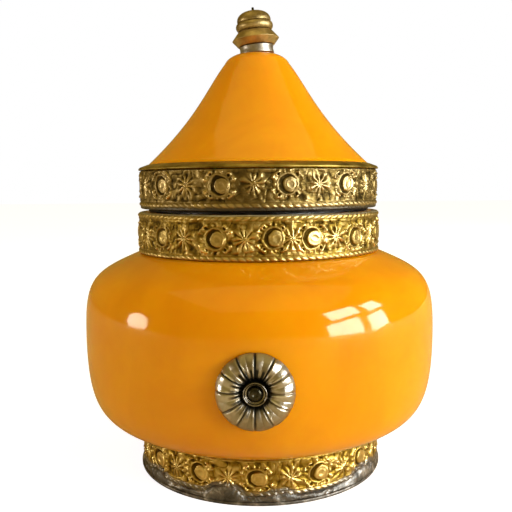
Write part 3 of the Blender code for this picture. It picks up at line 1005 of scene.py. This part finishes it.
def make_finial():
    """A ferrule, three beads and the pin through them, with its washer inside the lid."""

    def bead(name, node, section, material, cols=120):
        obj = turned(name, section, cols, on_pin)
        dress(obj, material, "lid", node)

    ferrule = [
        (1.0, -0.2),
        (4.9, -0.2),
        (4.85, 0.35),
        (4.72, 0.9),
        (4.75, 1.4),
        (4.88, 1.95),
        (1.0, 1.95),
    ]
    bead("silver_ferrule", "finial_ferrule", soften(ferrule, 0.15), "ferrule")
    bicone = [
        (1.0, 2.1),
        (5.2, 2.1),
        (5.9, 2.95),
        (6.55, 3.7),
        (6.7, 3.87),
        (6.52, 4.07),
        (5.6, 5.2),
        (4.75, 6.2),
        (1.0, 6.2),
    ]
    bead("brass_bicone", "finial_bicone", soften(bicone, 0.15), "bead")
    ball = [(1.0, 6.35), (4.7, 6.35)]
    ball += bezier((4.7, 6.35), (5.4, 6.8), (5.5, 8.0), (4.85, 8.5), 10)
    ball += [(1.0, 8.5)]
    bead("brass_ball", "finial_round_bead", ball, "bead")
    cap = [(1.0, 8.65), (4.75, 8.65)]
    cap += bezier((4.75, 8.65), (4.95, 9.6), (4.6, 11.0), (2.5, 11.6), 12)
    cap += bezier((2.5, 11.6), (2.0, 11.75), (1.3, 11.85), (0.55, 11.85), 4)
    cap += [(0.55, 10.8), (1.0, 10.8)]
    bead("brass_dome", "finial_cap", cap, "bead")
    washer_top = CEILING_SEAT - FIT_GAP
    washer_bottom = washer_top - 0.7
    washer = soften(tube(1.1, 3.9, washer_bottom, washer_top), 0.2, 4)
    bead("finial_washer", "finial_inner_washer", washer, "tin", 72)
    head = washer_bottom - FIT_GAP
    pin = [
        (0, head - 1.0),
        (1.0, head - 0.98),
        (1.7, head - 0.88),
        (2.1, head - 0.5),
        (2.2, head - 0.1),
        (2.1, head),
        (0.8, head),
        (0.8, 10.6),
        (0.35, 10.65),
        (0.35, 12.75),
        (0.25, 12.9),
        (0, 12.95),
    ]
    bead("finial_pin_steel", "finial_pin", pin, "dark", 48)


# Studio. Lengths here are in metres, as Blender takes them.

TARGET = (0, 0, 0.06)
FLOOR_SIZE = 3000  # from the middle to an edge, in millimetres
WINDOW_PLACE = (0.755, -0.378, 0.215)
WINDOW_SIDEWAYS = (0.45, 0.89)  # the floor direction in which the window runs
# Two wide panes beside two narrow ones: (sideways, up, width).
WINDOW_PANES = (
    (-0.14, 0.13, 0.33),
    (0.215, 0.17, 0.20),
    (-0.14, -0.15, 0.33),
    (0.215, -0.11, 0.20),
)
PANE_HEIGHT = 0.22
GLOSS_HEIGHT = 0.21
PANE_POWER = 8.5  # for each metre of width
GLOSS_POWER = 11.0
GLOSS_NEARNESS = 0.985  # of the way out to a pane, where the panel that gives its shine stands
WINDOW_ROLL = 0.25
CAMERA_DISTANCE = 0.1978
CAMERA_HEIGHT = 0.0806
CAMERA_TURN = math.radians(1.4)  # the camera stands a little to the right of the rosette
CAMERA_SHIFT = 0.0008  # towards -X
CAMERA_TILT = math.radians(84)
CAMERA_ROLL = math.radians(-0.5)
LENS = 47.44
SENSOR = 36


def aim(obj, place, target):
    """Stands a light at a place and turns its face to a target."""
    obj.location = place
    direction = np.array(target, float) - np.array(place, float)
    flat = math.hypot(direction[0], direction[1])
    tilt = math.pi / 2 + math.atan2(direction[2], flat)
    obj.rotation_euler = (tilt, 0, math.atan2(direction[1], direction[0]) - math.pi / 2)


def area_light(
    name, place, size, power, colour, roll=0.0, shades=True, shines=True, shape="RECTANGLE"
):
    """A light panel aimed at the jar, which may leave out either its shading or its shine."""
    data = bpy.data.lights.new(name, "AREA")
    data.shape = shape
    data.size, data.size_y = size
    data.energy = power
    data.color = colour
    obj = bpy.data.objects.new(name, data)
    bpy.context.scene.collection.objects.link(obj)
    aim(obj, place, TARGET)
    obj.rotation_euler.rotate_axis("Z", roll)
    obj.visible_diffuse = shades
    obj.visible_glossy = shines


def make_floor():
    """A pale sheet that the camera sees as white."""
    corners = [(-1, -1, 0), (1, -1, 0), (1, 1, 0), (-1, 1, 0)]
    floor = make_object("floor", FLOOR_SIZE * np.array(corners, float), [(0, 1, 2, 3)])
    paper = bpy.data.materials.new("paper")
    paper.use_nodes = True
    tree = paper.node_tree
    shader = tree.nodes["Principled BSDF"]
    shader.inputs["Base Color"].default_value = (0.70, 0.64, 0.48, 1)
    shader.inputs["Roughness"].default_value = 0.9
    shader.inputs["Specular IOR Level"].default_value = 0.1
    shader.inputs["Emission Color"].default_value = (0.80, 0.84, 0.92, 1)
    path = tree.nodes.new("ShaderNodeLightPath")
    tree.links.new(path.outputs["Is Camera Ray"], shader.inputs["Emission Strength"])
    floor.data.materials.append(paper)


def make_world():
    """A warm dim room round the jar, with white behind it for the camera."""
    world = bpy.data.worlds.new("studio")
    bpy.context.scene.world = world
    world.use_nodes = True
    tree = world.node_tree
    room = tree.nodes["Background"]
    room.inputs["Color"].default_value = (1.0, 0.70, 0.15, 1)
    room.inputs["Strength"].default_value = 0.31
    white = tree.nodes.new("ShaderNodeBackground")
    white.inputs["Color"].default_value = (1, 1, 1, 1)
    white.inputs["Strength"].default_value = 1.0
    path = tree.nodes.new("ShaderNodeLightPath")
    mix = tree.nodes.new("ShaderNodeMixShader")
    tree.links.new(path.outputs["Is Camera Ray"], mix.inputs["Fac"])
    tree.links.new(room.outputs["Background"], mix.inputs[1])
    tree.links.new(white.outputs["Background"], mix.inputs[2])
    tree.links.new(mix.outputs["Shader"], tree.nodes["World Output"].inputs["Surface"])


def make_lights():
    """A window on the right, a smaller one on the left, a side room and the ceiling."""
    for k, (side, up, width) in enumerate(WINDOW_PANES):
        place = (
            WINDOW_PLACE[0] + side * WINDOW_SIDEWAYS[0],
            WINDOW_PLACE[1] + side * WINDOW_SIDEWAYS[1],
            WINDOW_PLACE[2] + up,
        )
        pane = {"size": (width, PANE_HEIGHT), "power": PANE_POWER * width, "roll": WINDOW_ROLL}
        area_light(f"window_pane_{k}", place, colour=(1.0, 0.97, 0.90), shines=False, **pane)
        nearer = tuple(GLOSS_NEARNESS * c for c in place)
        pane |= {"size": (width, GLOSS_HEIGHT), "power": GLOSS_POWER * width}
        area_light(f"window_gloss_{k}", nearer, colour=(0.88, 0.94, 1.0), shades=False, **pane)
    place = (-0.78, -0.16, 0.16)
    area_light("left_window", place, (0.16, 0.20), 2.0, (1.0, 0.95, 0.88), shines=False)
    place = (-0.79, -0.17, 0.07)
    shine = {"roll": 0.5, "shades": False, "shape": "ELLIPSE"}
    area_light("left_gloss", place, (0.24, 0.22), 1.35, (1.0, 0.96, 0.92), **shine)
    place = (0.9, 0.35, 0.15)
    area_light("side_room", place, (1.2, 0.7), 6.5, (1.0, 0.85, 0.60), shines=False)
    area_light("ceiling", (0.1, -0.5, 1.5), (2.4, 2.2), 8.5, (1.0, 0.86, 0.36))


def make_camera():
    """In front of the jar and a little above its middle, looking slightly down."""
    scene = bpy.context.scene
    data = bpy.data.cameras.new("camera")
    data.lens = LENS
    data.sensor_width = SENSOR
    data.clip_start = 0.01
    camera = bpy.data.objects.new("camera", data)
    scene.collection.objects.link(camera)
    camera.location = (
        CAMERA_DISTANCE * math.sin(CAMERA_TURN) - CAMERA_SHIFT,
        -CAMERA_DISTANCE * math.cos(CAMERA_TURN),
        CAMERA_HEIGHT,
    )
    camera.rotation_euler = (CAMERA_TILT, 0, CAMERA_TURN)
    camera.rotation_euler.rotate_axis("Z", CAMERA_ROLL)
    scene.camera = camera
    scene.view_settings.view_transform = "Standard"


make_resin()
make_strips()
make_sheet_metal()
make_foot_solder()
lap_solder("foot_lap_bead", "foot_lap_solder", "jar", 71)
lap_solder("neck_lap_bead", "neck_lap_solder", "jar", 72)
lap_solder("lid_lap_bead", "lid_lap_solder", "lid", 73)
make_rosette()
make_finial()
make_floor()
make_world()
make_lights()
make_camera()
